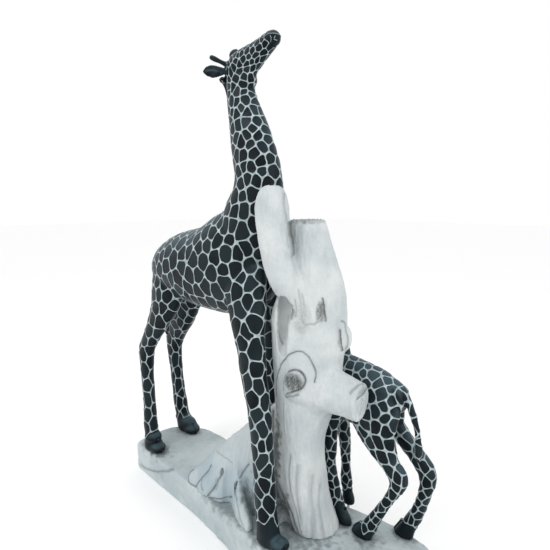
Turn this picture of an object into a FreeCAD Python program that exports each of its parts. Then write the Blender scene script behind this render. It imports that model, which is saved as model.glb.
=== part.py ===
import FreeCAD, Part
import os

# Carved stone group on a slab: an adult giraffe and a calf standing against a hollow tree trunk.
# Millimetres.  +X is the way the adult faces, +Y its left, +Z up.  The origin is the centre of the
# slab's underside.

doc = FreeCAD.newDocument("giraffe_group")
sheet = doc.addObject("Spreadsheet::Sheet", "Sizes")
vector = FreeCAD.Vector
UP = vector(0, 0, 1)
ACROSS = vector(0, 1, 0)
STATION_KEYS = ("x", "y", "z", "along", "across")
sheet_row = 0


def cell(alias, value):
    """Put one plain number in the next row of the sheet and give its cell a name."""
    global sheet_row
    sheet_row += 1
    sheet.set("A%d" % sheet_row, alias)
    sheet.set("B%d" % sheet_row, str(value))
    sheet.setAlias("B%d" % sheet_row, alias)
    return value


def bind(thing, prop, alias):
    thing.setExpression(prop, "Sizes." + alias)


# ---------------------------------------------------------------- driving sizes
SLAB_TOP = cell("slab_thickness", 165)
cell("slab_edge_round", 14)
cell("leg_dowel_radius", 9)
LEG_DOWEL_LENGTH = cell("leg_dowel_length", 120)
cell("foot_dowel_radius", 7)
FOOT_DOWEL_LENGTH = cell("foot_dowel_length", 100)
cell("calf_dowel_radius", 6)
CALF_DOWEL_LENGTH = cell("calf_dowel_length", 80)
cell("neck_dowel_radius", 12)
NECK_DOWEL_LENGTH = cell("neck_dowel_length", 200)
cell("trunk_dowel_radius", 16)
TRUNK_DOWEL_LENGTH = cell("trunk_dowel_length", 240)
CLEFT_WIDTH = cell("hoof_cleft_width", 7)
CLEFT_DEPTH = cell("hoof_cleft_depth", 45)
cell("hoof_cleft_height", 55)
CLEFT_SET_IN = 30
CLEFT_BELOW_SLAB_TOP = 5

# A member is a loft through ellipses.  Each row is one ellipse: its centre x, y, z, its half sizes
# along and across, and its lean in degrees about Y (0 is a level ellipse with "along" on X, 90 an
# upright one with "along" on Z that faces +X).

# ---- adult giraffe, mid-plane y = -70
ADULT_BARREL = [
    (-780, -70, 1286, 46, 42, 90),
    (-762, -70, 1286, 86, 80, 90),
    (-710, -70, 1286, 122, 120, 90),
    (-640, -70, 1296, 150, 148, 90),
    (-540, -70, 1304, 180, 166, 90),
    (-430, -70, 1309, 198, 172, 90),
    (-330, -70, 1317, 212, 172, 90),
    (-220, -70, 1344, 240, 168, 90),
    (-100, -70, 1368, 258, 158, 90),
    (0, -70, 1370, 236, 142, 90),
    (80, -70, 1365, 170, 112, 90),
    (118, -70, 1360, 92, 66, 90),
]
ADULT_SHOULDER = [
    (-20, -70, 1230, 120, 116, 0),
    (-12, -70, 1400, 146, 134, 0),
    (-4, -70, 1540, 166, 124, 0),
    (18, -70, 1650, 150, 104, -4),
    (36, -70, 1710, 132, 92, -8),
    (38, -70, 1765, 124, 84, -12),
]
ADULT_NECK = [
    (38, -70, 1765, 124, 84, -12),
    (27, -70, 1820, 117, 80, -14),
    (4, -70, 1888, 112, 75, -15),
    (-16, -70, 1955, 101, 69, -15),
    (-38, -70, 2018, 89, 62, -14),
    (-57, -70, 2080, 79, 56, -11),
    (-68, -70, 2130, 73, 52, -7),
]
ADULT_NAPE = [
    (-68, -70, 2130, 73, 52, -7),
    (-58, -70, 2152, 82, 53, 0),
    (-66, -70, 2184, 78, 51, 0),
    (-76, -70, 2215, 60, 45, 8),
]
ADULT_SKULL = [
    (-140, -70, 2192, 24, 24, 72),
    (-122, -70, 2200, 50, 45, 72),
    (-64, -70, 2216, 69, 57, 72),
    (0, -70, 2238, 60, 48, 72),
    (66, -70, 2262, 45, 38, 72),
    (120, -70, 2284, 36, 34, 72),
    (153, -70, 2294, 29, 29, 72),
    (166, -70, 2298, 15, 15, 72),
]
ADULT_RIGHT_THIGH = [
    (-600, -130, 1330, 126, 60, 0),
    (-602, -156, 1200, 132, 64, 0),
    (-612, -172, 1080, 118, 58, 0),
]
ADULT_RIGHT_HIND = [
    (-612, -172, 1080, 118, 58, 0),
    (-682, -188, 960, 92, 46, 0),
    (-750, -200, 860, 72, 42, 0),
    (-794, -205, 770, 60, 40, 0),
    (-798, -205, 690, 50, 37, 0),
    (-796, -205, 560, 42, 36, 0),
    (-790, -205, 430, 41, 36, 0),
    (-788, -205, 330, 46, 41, 0),
    (-784, -204, 275, 44, 40, 0),
    (-780, -202, 232, 54, 47, 0),
    (-774, -200, 165, 68, 52, 0),
]
ADULT_LEFT_THIGH = [
    (-650, -10, 1330, 126, 60, 0),
    (-672, 14, 1200, 140, 64, 0),
    (-712, 34, 1080, 148, 60, 0),
]
ADULT_LEFT_HIND = [
    (-712, 34, 1080, 148, 60, 0),
    (-790, 50, 980, 138, 56, 0),
    (-862, 60, 870, 112, 52, 0),
    (-914, 66, 790, 86, 47, 0),
    (-938, 68, 710, 64, 44, 0),
    (-934, 68, 640, 52, 41, 0),
    (-922, 68, 540, 47, 39, 0),
    (-906, 68, 430, 46, 39, 0),
    (-888, 68, 330, 50, 43, 0),
    (-872, 68, 275, 48, 42, 0),
    (-850, 68, 230, 58, 48, 0),
    (-824, 68, 165, 74, 52, 0),
]
ADULT_RIGHT_UPPER_ARM = [
    (0, -130, 1380, 136, 60, 0),
    (56, -160, 1230, 118, 62, 0),
    (98, -184, 1090, 88, 57, 0),
]
ADULT_RIGHT_FORE = [
    (98, -184, 1090, 88, 57, 0),
    (137, -197, 970, 72, 51, 0),
    (164, -204, 860, 64, 49, 0),
    (190, -205, 755, 57, 48, 0),
    (203, -205, 640, 53, 46, 0),
    (215, -205, 500, 50, 45, 0),
    (223, -205, 370, 53, 46, 0),
    (230, -205, 295, 52, 46, 0),
    (238, -205, 240, 55, 48, 0),
    (248, -205, 165, 68, 52, 0),
]
ADULT_LEFT_UPPER_ARM = [
    (-40, -10, 1380, 136, 60, 0),
    (-36, 20, 1230, 116, 62, 0),
    (-30, 44, 1090, 86, 56, 0),
]
ADULT_LEFT_FORE = [
    (-30, 44, 1090, 86, 56, 0),
    (-26, 58, 960, 64, 49, 0),
    (-24, 64, 830, 55, 44, 0),
    (-22, 66, 700, 52, 43, 0),
    (-20, 68, 570, 46, 39, 0),
    (-16, 68, 420, 44, 38, 0),
    (-8, 68, 330, 48, 42, 0),
    (2, 68, 275, 46, 40, 0),
    (12, 68, 230, 54, 46, 0),
    (22, 68, 165, 68, 50, 0),
]
ADULT_MANE = [
    (-188, -70, 2202, 15, 13, 0),
    (-180, -70, 2180, 17, 14, 0),
    (-160, -70, 2150, 16, 12, 0),
    (-142, -70, 2100, 18, 12, 0),
    (-130, -70, 2020, 18, 12, 0),
    (-112, -70, 1930, 18, 12, 0),
    (-96, -70, 1840, 18, 12, 0),
    (-88, -70, 1765, 16, 11, 0),
    (-100, -70, 1715, 12, 9, 0),
]
ADULT_TAIL = [
    (-788, -70, 1330, 15, 15, 0),
    (-802, -70, 1260, 13, 13, 0),
    (-806, -70, 1150, 12, 12, 0),
    (-800, -70, 1040, 13, 13, 0),
    (-792, -70, 960, 22, 20, 0),
    (-788, -70, 890, 18, 16, 0),
    (-788, -70, 850, 7, 6, 0),
]

# ---- calf, mid-plane y = 190, facing the other way
CALF_BARREL = [
    (656, 190, 838, 30, 26, 90),
    (640, 190, 836, 58, 50, 90),
    (600, 190, 828, 80, 69, 90),
    (536, 190, 814, 122, 79, 90),
    (460, 190, 804, 146, 81, 90),
    (375, 190, 800, 160, 81, 90),
    (305, 190, 812, 152, 77, 90),
    (250, 190, 838, 114, 62, 90),
    (224, 190, 850, 64, 40, 90),
]
CALF_WITHERS = [
    (300, 190, 880, 70, 66, -10),
    (280, 190, 960, 82, 56, -20),
    (255, 190, 1015, 68, 46, -28),
]
CALF_NECK = [
    (255, 190, 1015, 68, 46, -28),
    (226, 190, 1065, 56, 40, -28),
    (196, 190, 1130, 46, 35, -24),
    (170, 190, 1200, 40, 31, -20),
    (152, 190, 1262, 37, 29, -14),
]
CALF_NAPE = [
    (152, 190, 1262, 37, 29, -14),
    (146, 190, 1288, 36, 29, -20),
    (138, 190, 1312, 30, 27, -30),
]
CALF_SKULL = [
    (182, 190, 1298, 14, 14, -84),
    (172, 190, 1299, 28, 27, -84),
    (134, 190, 1305, 41, 36, -84),
    (92, 190, 1308, 36, 31, -84),
    (46, 190, 1311, 27, 24, -84),
    (10, 190, 1314, 24, 23, -84),
    (-12, 190, 1316, 20, 20, -84),
    (-21, 190, 1317, 10, 10, -84),
]
CALF_LEFT_THIGH = [
    (552, 150, 850, 80, 34, 0),
    (548, 132, 770, 108, 40, 0),
    (541, 122, 700, 110, 40, 0),
]
CALF_LEFT_HIND = [
    (541, 122, 700, 110, 40, 0),
    (576, 118, 640, 88, 37, 0),
    (618, 116, 590, 69, 33, 0),
    (666, 115, 545, 54, 30, 0),
    (679, 115, 500, 38, 27, 0),
    (660, 115, 450, 28, 25, 0),
    (634, 115, 400, 26, 24, 0),
    (603, 116, 340, 27, 25, 0),
    (573, 117, 280, 32, 27, 0),
    (546, 118, 228, 42, 28, 0),
    (524, 119, 196, 50, 31, 0),
    (508, 120, 165, 58, 34, 0),
]
CALF_RIGHT_THIGH = [
    (548, 228, 850, 78, 34, 0),
    (544, 244, 770, 76, 38, 0),
    (548, 250, 700, 72, 38, 0),
]
CALF_RIGHT_HIND = [
    (548, 250, 700, 72, 38, 0),
    (606, 252, 645, 62, 35, 0),
    (674, 254, 585, 60, 32, 0),
    (724, 255, 530, 51, 29, 0),
    (740, 255, 485, 38, 27, 0),
    (732, 255, 420, 30, 25, 0),
    (714, 255, 345, 30, 25, 0),
    (693, 255, 285, 34, 28, 0),
    (672, 255, 240, 38, 28, 0),
    (656, 255, 205, 42, 31, 0),
    (642, 255, 165, 50, 34, 0),
]
CALF_LEFT_UPPER_ARM = [
    (335, 150, 780, 66, 36, 0),
    (324, 138, 710, 56, 38, 0),
    (319, 130, 640, 44, 34, 0),
]
CALF_LEFT_FORE = [
    (319, 130, 640, 44, 34, 0),
    (318, 126, 560, 35, 29, 0),
    (319, 125, 490, 33, 28, 0),
    (325, 125, 415, 28, 25, 0),
    (341, 125, 350, 31, 26, 0),
    (358, 125, 290, 33, 27, 0),
    (380, 126, 240, 33, 27, 0),
    (398, 127, 208, 36, 29, 0),
    (412, 128, 165, 42, 32, 0),
]
CALF_RIGHT_UPPER_ARM = [
    (310, 225, 780, 66, 36, 0),
    (300, 240, 710, 54, 36, 0),
    (297, 246, 640, 42, 32, 0),
]
CALF_RIGHT_FORE = [
    (297, 246, 640, 42, 32, 0),
    (304, 249, 560, 33, 28, 0),
    (312, 250, 490, 32, 27, 0),
    (320, 250, 410, 26, 23, 0),
    (325, 250, 335, 26, 23, 0),
    (329, 250, 280, 31, 27, 0),
    (336, 250, 240, 28, 25, 0),
    (342, 250, 210, 31, 28, 0),
    (346, 250, 165, 34, 28, 0),
]
CALF_TAIL = [
    (628, 190, 884, 20, 16, -40),
    (650, 190, 860, 19, 15, -40),
    (672, 190, 822, 17, 14, -28),
    (690, 190, 784, 15, 13, -22),
    (706, 190, 742, 13, 12, -16),
    (716, 190, 700, 12, 11, -8),
    (721, 190, 655, 17, 15, 0),
    (723, 190, 610, 13, 12, 0),
    (723, 190, 585, 5, 4, 0),
]

# ---- tree; its ellipses are turned 45 degrees about Z
TREE_TURN = 45
TREE_TRUNK = [
    (316, 26, 165, 116, 112, 0),
    (301, 10, 235, 114, 106, 0),
    (281, -5, 330, 110, 100, 0),
    (269, -14, 450, 110, 98, 0),
    (265, -16, 600, 106, 96, 0),
    (275, -10, 750, 128, 108, 0),
    (283, -6, 900, 148, 116, 0),
    (288, -4, 1040, 158, 118, 0),
    (290, -2, 1150, 162, 116, 0),
    (296, 4, 1250, 146, 108, 0),
    (290, 2, 1400, 112, 96, 0),
    (282, -4, 1500, 88, 82, 0),
    (275, -10, 1572, 74, 70, 0),
]
TREE_LIMB = [
    (292, -40, 1130, 66, 60, 0),
    (292, -62, 1215, 68, 60, 0),
    (272, -112, 1300, 70, 60, 0),
    (254, -144, 1380, 66, 58, 0),
    (240, -158, 1460, 64, 58, 0),
    (228, -162, 1560, 68, 60, 0),
    (224, -162, 1640, 66, 58, 0),
    (224, -162, 1690, 50, 44, 0),
    (224, -162, 1712, 24, 22, 0),
]
# The stump's rows face along its own line and are turned about Z to point away from the trunk.
TREE_STUMP_TURN = 10
TREE_STUMP = [
    (300, -12, 870, 126, 100, 90),
    (390, 0, 868, 106, 90, 90),
    (455, 10, 862, 90, 80, 90),
    (515, 18, 854, 81, 76, 90),
    (552, 22, 850, 78, 74, 90),
]
# Roots are upright rows centred on the slab's top; the half below it is cut away.
ROOT_SPUR = [
    (215, -30, 165, 620, 88, 90),
    (110, -58, 165, 545, 86, 90),
    (0, -84, 165, 440, 84, 90),
    (-110, -102, 165, 330, 86, 90),
    (-220, -118, 165, 216, 86, 90),
    (-290, -126, 165, 140, 74, 90),
    (-345, -132, 165, 66, 54, 90),
    (-372, -134, 165, 26, 26, 90),
]
ROOT_OUTER_TOE = [
    (-240, -156, 165, 132, 60, 90),
    (-305, -182, 165, 92, 50, 90),
    (-350, -196, 165, 60, 40, 90),
    (-384, -204, 165, 26, 20, 90),
]
ROOT_INNER_TOE = [
    (-90, -148, 165, 214, 60, 90),
    (-160, -176, 165, 144, 54, 90),
    (-220, -196, 165, 88, 44, 90),
    (-258, -205, 165, 38, 26, 90),
]
ROOT_RIB = [
    (-70, -120, 165, 300, 34, 90),
    (-20, -158, 165, 240, 36, 90),
    (40, -188, 165, 150, 36, 90),
    (100, -214, 165, 86, 30, 90),
    (150, -230, 165, 40, 18, 90),
]

# Slab outline: the points its closed curve runs through.
SLAB_OUTLINE = [
    (-885, -250),
    (-600, -246),
    (-200, -240),
    (200, -262),
    (520, -262),
    (800, -240),
    (905, -120),
    (912, 60),
    (840, 220),
    (640, 285),
    (380, 232),
    (100, 196),
    (-250, 190),
    (-520, 178),
    (-760, 148),
    (-910, 20),
    (-925, -150),
]


# ---------------------------------------------------------------- builders
def ring(label, station, turn=0):
    """One bound ellipse; its "along" half size is never the smaller one."""
    for key, value in zip(STATION_KEYS, station):
        cell("%s_%s" % (label, key), value)
    thing = doc.addObject("Part::Ellipse", label)
    tilt = FreeCAD.Rotation(ACROSS, station[5])
    thing.Placement = FreeCAD.Placement(vector(0, 0, 0), FreeCAD.Rotation(UP, turn) * tilt)
    bind(thing, "MajorRadius", label + "_along")
    bind(thing, "MinorRadius", label + "_across")
    bind(thing, "Placement.Base.x", label + "_x")
    bind(thing, "Placement.Base.y", label + "_y")
    bind(thing, "Placement.Base.z", label + "_z")
    return thing


def loft(name, stations, turn=0):
    """A solid through the member's ellipses."""
    thing = doc.addObject("Part::Loft", name)
    thing.Sections = [
        ring("%s_s%d" % (name, number), station, turn) for number, station in enumerate(stations, 1)
    ]
    thing.Solid = True
    thing.MaxDegree = 2
    return thing


def cylinder(name, centre, direction, radius_alias, length_alias, length):
    """A round bar centred on a joint and lying along the direction given."""
    thing = doc.addObject("Part::Cylinder", name)
    bind(thing, "Radius", radius_alias)
    bind(thing, "Height", length_alias)
    axis = vector(*direction).normalize()
    thing.Placement = FreeCAD.Placement(vector(*centre) - axis * (length / 2), FreeCAD.Rotation(UP, axis))
    return thing


def ellipsoid(name, centre, normal, radii):
    """A bound ellipsoid: radii along its normal, across it and up it."""
    thing = doc.addObject("Part::Ellipsoid", name)
    for prop, key, value in zip(("Radius1", "Radius2", "Radius3"), ("up", "out", "side"), radii):
        alias = "%s_%s" % (name, key)
        cell(alias, value)
        bind(thing, prop, alias)
    thing.Angle1 = -90
    thing.Angle2 = 90
    thing.Angle3 = 360
    thing.Placement = FreeCAD.Placement(vector(*centre), FreeCAD.Rotation(vector(1, 0, 0), vector(*normal)))
    return thing


def fuse(name, things):
    thing = doc.addObject("Part::MultiFuse", name)
    thing.Shapes = things
    return thing


def group(name, things):
    thing = doc.addObject("Part::Compound", name)
    thing.Links = things
    return thing


def cut(name, base, tools):
    """The base with every tool taken away from it."""
    thing = doc.addObject("Part::Cut", name)
    thing.Base = base
    thing.Tool = tools[0] if len(tools) == 1 else fuse(name + "_tools", tools)
    return thing


def joint_direction(stations):
    """The way a member runs away from its first ellipse."""
    first = vector(*stations[0][:3])
    second = vector(*stations[1][:3])
    return second - first


pieces = {}


def keep(node, thing):
    thing.Label = node
    pieces[node] = thing


# ---------------------------------------------------------------- dowels
dowel_sets = {}


def dowel(kind, name, centre, direction, radius_alias, length_alias, length):
    bar = cylinder(name, centre, direction, radius_alias, length_alias, length)
    dowel_sets.setdefault(kind, []).append(bar)
    return bar


def leg(name, stations, toe, dowel_size, hip_kind):
    """A leg from its joint to its hoof, with the cleft cut and both dowel holes drilled."""
    radius_alias, length_alias, length = dowel_size
    shape = loft(name + "_loft", stations)
    hip = dowel(hip_kind, name + "_hip_dowel", stations[0][:3], joint_direction(stations),
                radius_alias, length_alias, length)
    foot_centre = stations[-1][:3]
    foot = dowel("foot_dowels", name + "_foot_dowel", foot_centre, (0, 0, 1),
                 "foot_dowel_radius", "foot_dowel_length", FOOT_DOWEL_LENGTH)
    cleft = doc.addObject("Part::Box", name + "_cleft")
    bind(cleft, "Length", "hoof_cleft_depth")
    bind(cleft, "Width", "hoof_cleft_width")
    bind(cleft, "Height", "hoof_cleft_height")
    reach = stations[-1][3]
    if toe > 0:
        start = foot_centre[0] + reach - CLEFT_SET_IN
    else:
        start = foot_centre[0] - reach + CLEFT_SET_IN - CLEFT_DEPTH
    cleft.Placement.Base = vector(start, foot_centre[1] - CLEFT_WIDTH / 2, SLAB_TOP - CLEFT_BELOW_SLAB_TOP)
    keep(name, cut(name + "_piece", shape, [hip, foot, cleft]))
    return hip, foot


ADULT_SIZE = ("leg_dowel_radius", "leg_dowel_length", LEG_DOWEL_LENGTH)
CALF_SIZE = ("calf_dowel_radius", "calf_dowel_length", CALF_DOWEL_LENGTH)
adult_hips = []
calf_hips = []
feet = []
for name, stations, toe, size, hips in (
    ("adult_right_hind_leg", ADULT_RIGHT_HIND, 1, ADULT_SIZE, adult_hips),
    ("adult_left_hind_leg", ADULT_LEFT_HIND, 1, ADULT_SIZE, adult_hips),
    ("adult_right_foreleg", ADULT_RIGHT_FORE, 1, ADULT_SIZE, adult_hips),
    ("adult_left_foreleg", ADULT_LEFT_FORE, 1, ADULT_SIZE, adult_hips),
    ("calf_left_hind_leg", CALF_LEFT_HIND, -1, CALF_SIZE, calf_hips),
    ("calf_right_hind_leg", CALF_RIGHT_HIND, -1, CALF_SIZE, calf_hips),
    ("calf_left_foreleg", CALF_LEFT_FORE, -1, CALF_SIZE, calf_hips),
    ("calf_right_foreleg", CALF_RIGHT_FORE, -1, CALF_SIZE, calf_hips),
):
    kind = "adult_leg_dowels" if size is ADULT_SIZE else "calf_leg_dowels"
    hip, foot = leg(name, stations, toe, size, kind)
    hips.append(hip)
    feet.append(foot)

# ---------------------------------------------------------------- adult body, neck and head
adult_neck_dowel = dowel("neck_dowels", "adult_neck_dowel", ADULT_NECK[0][:3], (-0.2, 0, 1),
                         "neck_dowel_radius", "neck_dowel_length", NECK_DOWEL_LENGTH)
adult_head_dowel = dowel("neck_dowels", "adult_head_dowel", ADULT_NAPE[0][:3], (-0.05, 0, 1),
                         "leg_dowel_radius", "leg_dowel_length", LEG_DOWEL_LENGTH)
adult_tail = loft("adult_tail_loft", ADULT_TAIL)
keep("adult_tail", adult_tail)
adult_mane = loft("adult_mane_loft", ADULT_MANE)
keep("adult_mane", adult_mane)
adult_body = fuse("adult_body_fuse", [
    loft("adult_barrel", ADULT_BARREL),
    loft("adult_shoulder", ADULT_SHOULDER),
    loft("adult_right_thigh", ADULT_RIGHT_THIGH),
    loft("adult_left_thigh", ADULT_LEFT_THIGH),
    loft("adult_right_upper_arm", ADULT_RIGHT_UPPER_ARM),
    loft("adult_left_upper_arm", ADULT_LEFT_UPPER_ARM),
])
adult_torso_tools = adult_hips + [adult_neck_dowel, adult_tail, adult_mane]
keep("adult_torso", cut("adult_torso_piece", adult_body, adult_torso_tools))
adult_neck = loft("adult_neck_loft", ADULT_NECK)
keep("adult_neck", cut("adult_neck_piece", adult_neck, [adult_neck_dowel, adult_head_dowel, adult_mane]))


def horn(name, foot, direction, rows, turn=0):
    """A horn or ear: level ellipses stacked along its own line, turned, then stood on its foot."""
    thing = loft(name + "_loft", rows, turn)
    thing.Placement = FreeCAD.Placement(vector(*foot), FreeCAD.Rotation(UP, vector(*direction)))
    keep(name, thing)
    return thing


HORN_ROWS = [
    (0, 0, -14, 15, 15, 0),
    (0, 0, 10, 13, 13, 0),
    (0, 0, 42, 11, 11, 0),
    (0, 0, 68, 13, 13, 0),
    (0, 0, 84, 11, 11, 0),
    (0, 0, 91, 5, 5, 0),
]
EAR_ROWS = [
    (0, 0, -14, 16, 12, 0),
    (0, 0, 12, 15, 10, 0),
    (0, 0, 38, 25, 10, 0),
    (0, 0, 68, 31, 9, 0),
    (0, 0, 94, 23, 7, 0),
    (0, 0, 112, 6, 3, 0),
]
RIGHT_EAR_TURN = 82
LEFT_EAR_TURN = 46
CALF_SCALE = 0.62
CALF_HORN_ROWS = [tuple(round(value * CALF_SCALE, 1) for value in row) for row in HORN_ROWS]
CALF_EAR_ROWS = [tuple(round(value * CALF_SCALE, 1) for value in row) for row in EAR_ROWS]
adult_crown = [
    horn("adult_right_horn", (-112, -100, 2232), (-0.62, -0.62, 0.40), HORN_ROWS),
    horn("adult_left_horn", (-114, -50, 2240), (-0.62, 0.16, 0.75), HORN_ROWS),
    horn("adult_right_ear", (-110, -108, 2208), (-0.36, -0.91, -0.14), EAR_ROWS, RIGHT_EAR_TURN),
    horn("adult_left_ear", (-128, -44, 2222), (-0.24, 0.20, 0.95), EAR_ROWS, LEFT_EAR_TURN),
]
calf_crown = [
    horn("calf_left_horn", (158, 172, 1330), (0.62, -0.25, 0.74), CALF_HORN_ROWS),
    horn("calf_right_horn", (158, 208, 1330), (0.62, 0.25, 0.74), CALF_HORN_ROWS),
    horn("calf_left_ear", (160, 164, 1308), (0.45, -0.85, 0.25), CALF_EAR_ROWS),
    horn("calf_right_ear", (160, 216, 1308), (0.45, 0.85, 0.25), CALF_EAR_ROWS),
]
adult_skull = fuse("adult_skull_fuse", [loft("adult_skull", ADULT_SKULL), loft("adult_nape", ADULT_NAPE)])
keep("adult_head", cut("adult_head_piece", adult_skull, adult_crown + [adult_head_dowel, adult_mane]))

# ---------------------------------------------------------------- calf body, neck and head
calf_neck_dowel = dowel("neck_dowels", "calf_neck_dowel", CALF_NECK[0][:3], (-0.5, 0, 0.87),
                        "leg_dowel_radius", "leg_dowel_length", LEG_DOWEL_LENGTH)
calf_head_dowel = dowel("neck_dowels", "calf_head_dowel", CALF_NAPE[0][:3], (-0.25, 0, 0.97),
                        "calf_dowel_radius", "calf_dowel_length", CALF_DOWEL_LENGTH)
calf_tail = loft("calf_tail_loft", CALF_TAIL)
keep("calf_tail", calf_tail)
calf_body = fuse("calf_body_fuse", [
    loft("calf_barrel", CALF_BARREL),
    loft("calf_withers", CALF_WITHERS),
    loft("calf_left_thigh", CALF_LEFT_THIGH),
    loft("calf_right_thigh", CALF_RIGHT_THIGH),
    loft("calf_left_upper_arm", CALF_LEFT_UPPER_ARM),
    loft("calf_right_upper_arm", CALF_RIGHT_UPPER_ARM),
])
keep("calf_torso", cut("calf_torso_piece", calf_body, calf_hips + [calf_neck_dowel, calf_tail]))
calf_neck = loft("calf_neck_loft", CALF_NECK)
keep("calf_neck", cut("calf_neck_piece", calf_neck, [calf_neck_dowel, calf_head_dowel]))
calf_skull = fuse("calf_skull_fuse", [loft("calf_skull", CALF_SKULL), loft("calf_nape", CALF_NAPE)])
keep("calf_head", cut("calf_head_piece", calf_skull, calf_crown + [calf_head_dowel]))

# ---------------------------------------------------------------- tree
trunk_dowels = [
    dowel("trunk_dowels", "trunk_dowel_left", (262, -20, SLAB_TOP), (0, 0, 1),
          "trunk_dowel_radius", "trunk_dowel_length", TRUNK_DOWEL_LENGTH),
    dowel("trunk_dowels", "trunk_dowel_right", (362, 62, SLAB_TOP), (0, 0, 1),
          "trunk_dowel_radius", "trunk_dowel_length", TRUNK_DOWEL_LENGTH),
]
FACING = (0.71, -0.70, 0)
BURL_FACING = (0.48, -0.87, 0)
trunk_solid = fuse("tree_trunk_fuse", [
    loft("tree_trunk_loft", TREE_TRUNK, TREE_TURN),
    ellipsoid("tree_burl", (328, -100, 905), BURL_FACING, (95, 46, 76)),
    ellipsoid("tree_knot", (398, 104, 1066), (0.70, 0.71, 0), (60, 32, 42)),
])
burl_dish = ellipsoid("tree_burl_dish", (352, -150, 890), BURL_FACING, (48, 20, 44))
hollow = ellipsoid("tree_hollow", (262, -140, 1130), FACING, (120, 56, 24))
trunk_cut = cut("tree_trunk_piece", trunk_solid, trunk_dowels + [burl_dish, hollow])
keep("tree_trunk", trunk_cut)

# a block larger than the slab: everything below the slab's top face
SPACE_LENGTH = cell("slab_space_length", 2200)
SPACE_WIDTH = cell("slab_space_width", 900)
SPACE_DEPTH = cell("slab_space_depth", 900)
slab_space = doc.addObject("Part::Box", "slab_space")
bind(slab_space, "Length", "slab_space_length")
bind(slab_space, "Width", "slab_space_width")
bind(slab_space, "Height", "slab_space_depth")
slab_space.Placement.Base = vector(-SPACE_LENGTH / 2, -SPACE_WIDTH / 2, SLAB_TOP - SPACE_DEPTH)
keep("tree_limb", cut("tree_limb_piece", loft("tree_limb_loft", TREE_LIMB, TREE_TURN), [trunk_cut]))
stump = loft("tree_stump_loft", TREE_STUMP, TREE_STUMP_TURN)
keep("tree_stump", cut("tree_stump_piece", stump, [trunk_cut]))
taken = [slab_space, trunk_cut]
for name, stations in (
    ("root_spur", ROOT_SPUR),
    ("root_outer_toe", ROOT_OUTER_TOE),
    ("root_inner_toe", ROOT_INNER_TOE),
    ("root_rib", ROOT_RIB),
):
    root = cut(name + "_piece", loft(name + "_loft", stations), taken)
    keep(name, root)
    taken = taken + [root]

# ---------------------------------------------------------------- slab
slab = doc.addObject("PartDesign::Body", "slab_body")
outline = slab.newObject("Sketcher::SketchObject", "slab_outline")
base_plane = [item for item in slab.Origin.OriginFeatures if item.Role == "XY_Plane"][0]
outline.AttachmentSupport = [(base_plane, "")]
outline.MapMode = "FlatFace"
edge = Part.BSplineCurve()
edge.interpolate([vector(x, y, 0) for x, y in SLAB_OUTLINE], PeriodicFlag=True)
outline.addGeometry(edge)
pad = slab.newObject("PartDesign::Pad", "slab_pad")
pad.Profile = outline
pad.setExpression("Length", "Sizes.slab_thickness")
doc.recompute()
top_edges = [
    "Edge%d" % number
    for number, item in enumerate(pad.Shape.Edges, 1)
    if abs(item.BoundBox.ZMin - SLAB_TOP) < 0.01 and item.BoundBox.ZLength < 0.01
]
rounded = slab.newObject("PartDesign::Fillet", "slab_round")
rounded.Base = (pad, top_edges)
rounded.setExpression("Radius", "Sizes.slab_edge_round")
keep("base_slab", cut("base_slab_piece", slab, feet + trunk_dowels))

for node, bars in dowel_sets.items():
    keep(node, group(node + "_set", bars))

# ---------------------------------------------------------------- check and write
doc.recompute()
for thing in doc.Objects:
    if "Invalid" in thing.State or "Error" in thing.State:
        raise RuntimeError("%s did not build: %s" % (thing.Name, thing.getStatusString()))
os.makedirs("parts", exist_ok=True)
for node, thing in pieces.items():
    shape = thing.Shape
    if shape.isNull() or not shape.isValid():
        raise RuntimeError("%s has no valid shape" % node)
    shape.exportStep("parts/%s.step" % node)
    print("%-24s solids %d  volume %.0f cm3" % (node, len(shape.Solids), shape.Volume / 1000))
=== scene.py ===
import math

import bpy
import numpy as np
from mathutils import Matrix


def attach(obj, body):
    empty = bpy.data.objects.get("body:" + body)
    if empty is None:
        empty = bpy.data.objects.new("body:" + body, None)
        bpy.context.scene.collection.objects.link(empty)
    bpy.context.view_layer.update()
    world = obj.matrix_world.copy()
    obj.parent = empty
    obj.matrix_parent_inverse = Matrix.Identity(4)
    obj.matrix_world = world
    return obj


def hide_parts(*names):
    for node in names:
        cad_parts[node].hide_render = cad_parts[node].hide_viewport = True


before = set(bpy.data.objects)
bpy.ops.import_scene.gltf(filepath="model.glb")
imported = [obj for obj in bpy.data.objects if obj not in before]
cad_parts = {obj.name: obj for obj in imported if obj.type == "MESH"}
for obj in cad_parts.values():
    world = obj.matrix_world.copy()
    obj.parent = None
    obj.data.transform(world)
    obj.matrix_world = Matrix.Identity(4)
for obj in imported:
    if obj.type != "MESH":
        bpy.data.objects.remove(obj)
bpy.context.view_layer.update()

import openvdb as vdb
from mathutils import Vector

# Metres, +X the way the adult faces, +Y its left, +Z up, the slab's underside at 0.
# The looks are grown from the CAD nodes: each family of nodes becomes one distance field, the field
# is softened and carved, and its surface is dealt back out to one piece per node.

SLAB_TOP = 0.165
SUNK = 0.004  # how far feet and roots go into the slab
BAND = 8  # half the width of a distance field, in voxels
SMALLEST_SHELL = 1500  # loose shells of fewer quads than this are dropped
FAR = 0.05  # the distance given to what is far from every net line


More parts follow.
